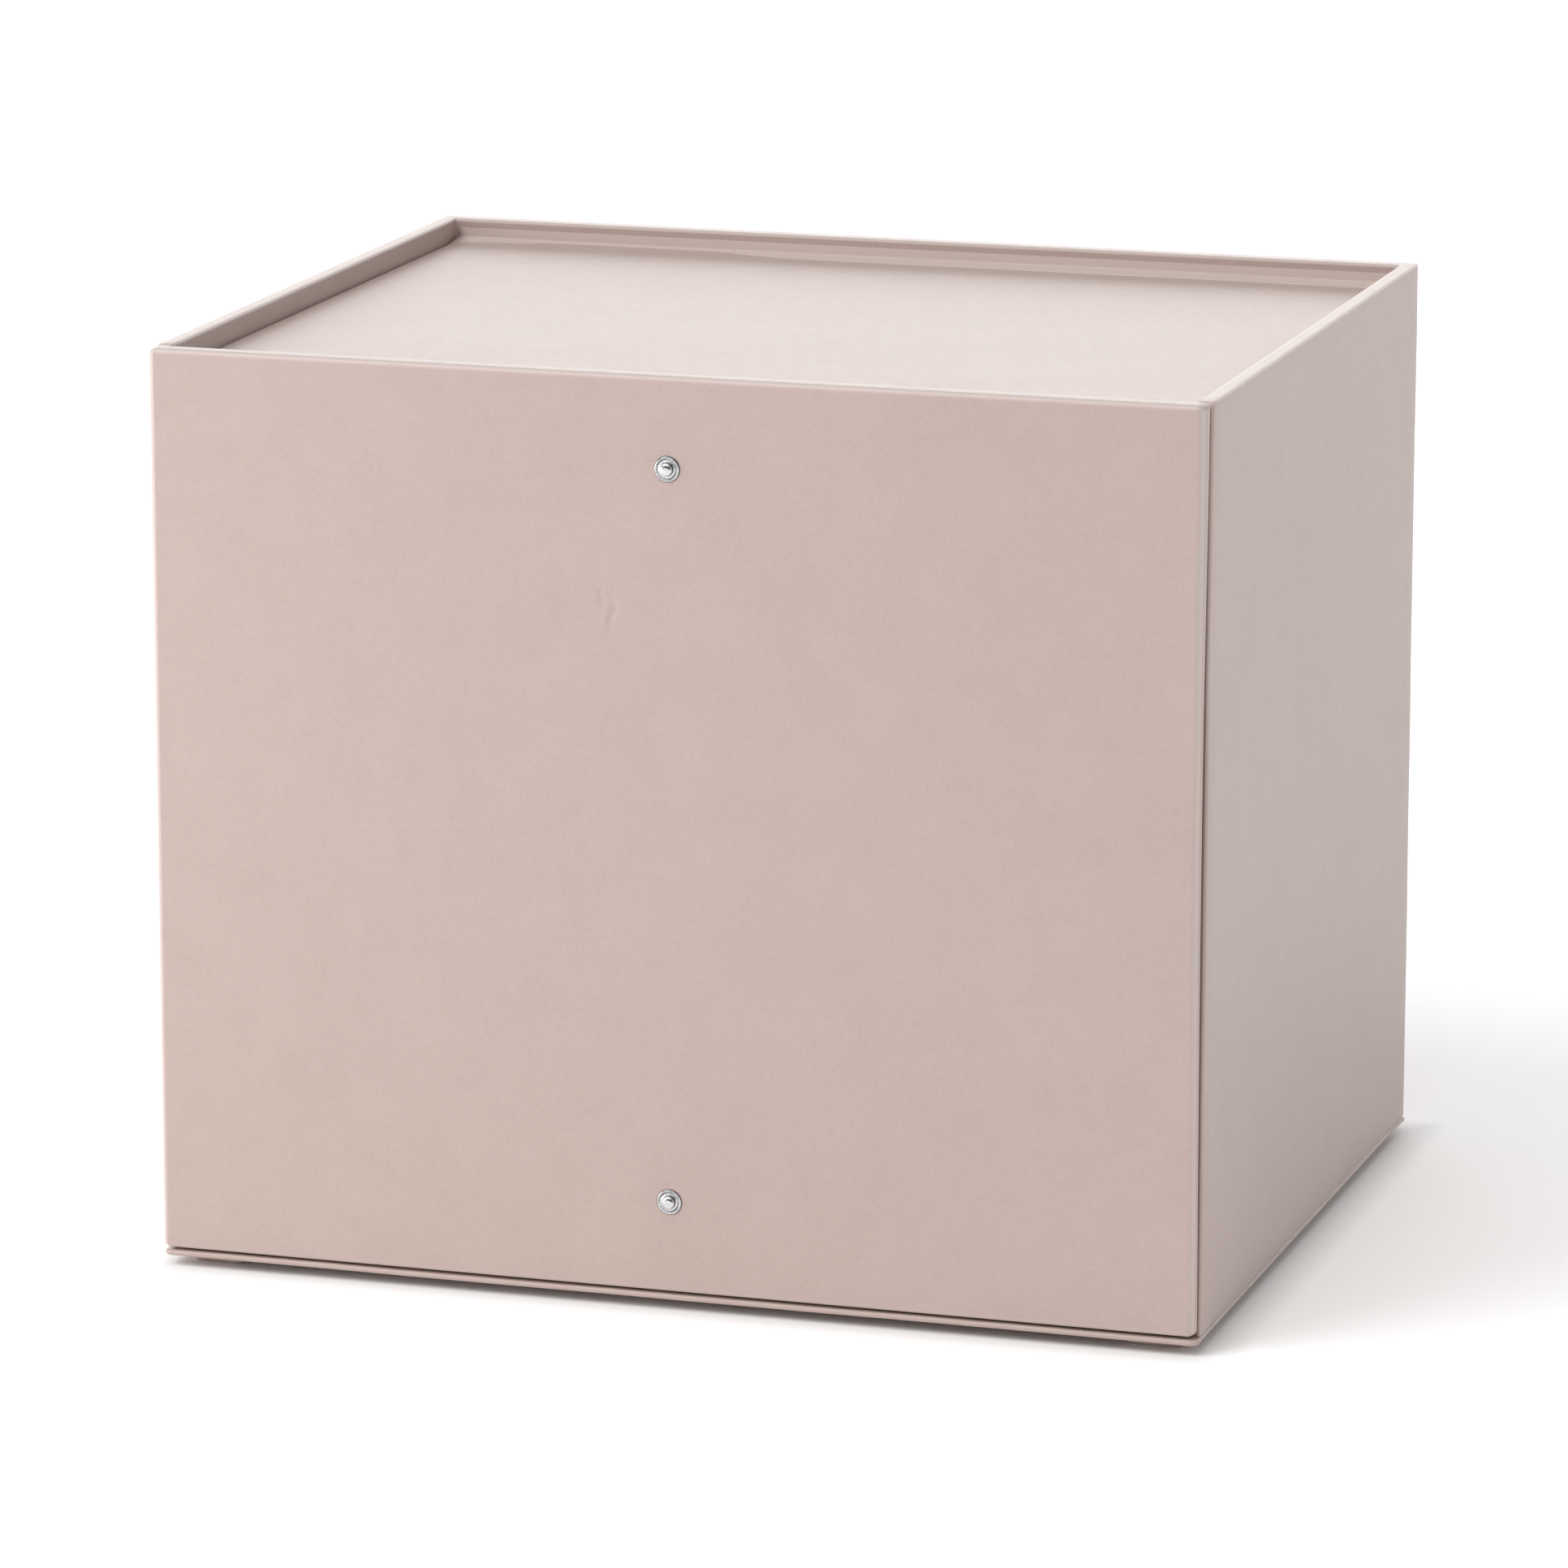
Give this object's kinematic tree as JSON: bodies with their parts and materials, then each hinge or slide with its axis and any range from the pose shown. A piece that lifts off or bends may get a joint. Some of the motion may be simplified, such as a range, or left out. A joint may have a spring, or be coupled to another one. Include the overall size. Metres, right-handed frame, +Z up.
{
  "type": "archival box",
  "caption": "Covered-board archival storage box with a side-hung front door, a recessed lid under a raised rim, press studs on the door and low corner feet.",
  "frame": {"origin": "on the floor, under the middle of the closed box", "axes": "+Z up, +X to the right seen from the door, door facing -Y"},
  "size_m": [0.38, 0.3124, 0.331],
  "materials": {
    "covering": "fine-grained beige leatherette covering, soft satin",
    "lining": "plain matt lining paper",
    "greyboard": "dense grey board",
    "foot_covering": "same leatherette covering as the walls",
    "stud_plating": "bright nickel-chrome plating",
    "socket_plating": "plain nickel plating"
  },
  "bodies": {
    "carcass": {"left_wall_board": "greyboard", "right_wall_board": "greyboard", "rear_wall_board": "greyboard", "body_cover": "covering", "left_wall_lining": "lining", "right_wall_lining": "lining", "rear_wall_lining": "lining", "base_board": "greyboard", "base_cover": "covering", "floor_board": "greyboard", "floor_lining": "lining", "upper_front_rail": "covering", "lower_front_rail": "covering", "left_lid_ledge": "covering", "right_lid_ledge": "covering", "rear_lid_ledge": "covering", "front_left_foot": "foot_covering", "front_right_foot": "foot_covering", "rear_left_foot": "foot_covering", "rear_right_foot": "foot_covering", "upper_rail_stud": "socket_plating", "upper_rail_cap": "socket_plating", "lower_rail_stud": "socket_plating", "lower_rail_cap": "socket_plating", "door_hinge_cloth": "covering", "lid_hinge_cloth": "covering"},
    "door": {"door_board": "greyboard", "door_cover": "covering", "door_lining": "lining", "upper_outer_stud": "stud_plating", "upper_socket": "socket_plating", "lower_outer_stud": "stud_plating", "lower_socket": "socket_plating"},
    "lid": {"lid_board": "greyboard", "lid_cover": "covering", "lid_lining": "lining"}
  },
  "joints": [
    {"name": "door_hinge", "type": "hinge", "parent": "carcass", "child": "door", "pos_m": [-0.19, -0.1446, 0.1655], "axis": [0, 0, -1], "range_deg": [0, 180], "deforming": ["door_hinge_cloth"]},
    {"name": "lid_hinge", "type": "hinge", "parent": "carcass", "child": "lid", "pos_m": [0, 0.1467, 0.323], "axis": [-1, 0, 0], "range_deg": [0, 97], "deforming": ["lid_hinge_cloth"]}
  ]
}
